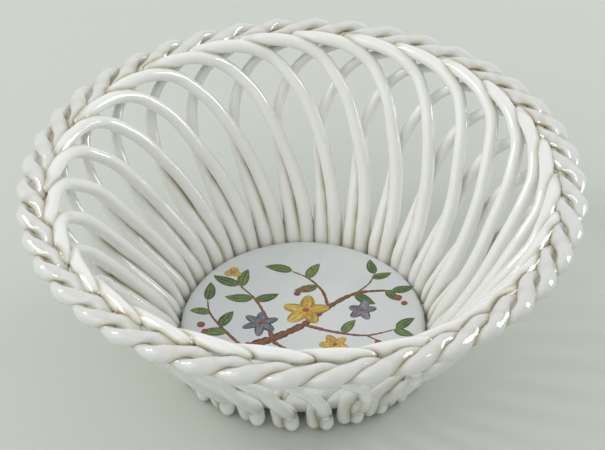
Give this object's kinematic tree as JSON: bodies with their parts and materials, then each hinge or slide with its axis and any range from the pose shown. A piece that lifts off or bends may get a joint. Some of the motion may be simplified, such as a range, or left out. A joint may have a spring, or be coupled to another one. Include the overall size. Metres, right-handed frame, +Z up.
{
  "type": "openwork porcelain basket",
  "caption": "Round white porcelain basket: a flat floor plate, an open wall of bent crossing cords that also form its feet, and a twisted rope rim.",
  "frame": {"origin": "on the table, at the centre of the ring of feet and of the round floor plate", "axes": "+Z up through the middle of the bowl, +Y away from the viewer of the picture, +X to the viewer's right"},
  "size_m": [0.1914, 0.191, 0.073],
  "materials": {
    "plate_glaze": "gloss",
    "cord_glaze": "gloss",
    "rope_glaze": "gloss"
  },
  "bodies": {
    "root": {"base_plate": "plate_glaze", "lattice_loop_01": "cord_glaze", "lattice_loop_02": "cord_glaze", "lattice_loop_03": "cord_glaze", "lattice_loop_04": "cord_glaze", "lattice_loop_05": "cord_glaze", "lattice_loop_06": "cord_glaze", "lattice_loop_07": "cord_glaze", "lattice_loop_08": "cord_glaze", "lattice_loop_09": "cord_glaze", "lattice_loop_10": "cord_glaze", "lattice_loop_11": "cord_glaze", "lattice_loop_12": "cord_glaze", "lattice_loop_13": "cord_glaze", "lattice_loop_14": "cord_glaze", "lattice_loop_15": "cord_glaze", "lattice_loop_16": "cord_glaze", "lattice_loop_17": "cord_glaze", "lattice_loop_18": "cord_glaze", "lattice_loop_19": "cord_glaze", "lattice_loop_20": "cord_glaze", "lattice_loop_21": "cord_glaze", "lattice_loop_22": "cord_glaze", "lattice_loop_23": "cord_glaze", "lattice_loop_24": "cord_glaze", "lattice_loop_25": "cord_glaze", "lattice_loop_26": "cord_glaze", "lattice_loop_27": "cord_glaze", "lattice_loop_28": "cord_glaze", "rim_rope_ply_a": "rope_glaze", "rim_rope_ply_b": "rope_glaze"}
  },
  "joints": []
}
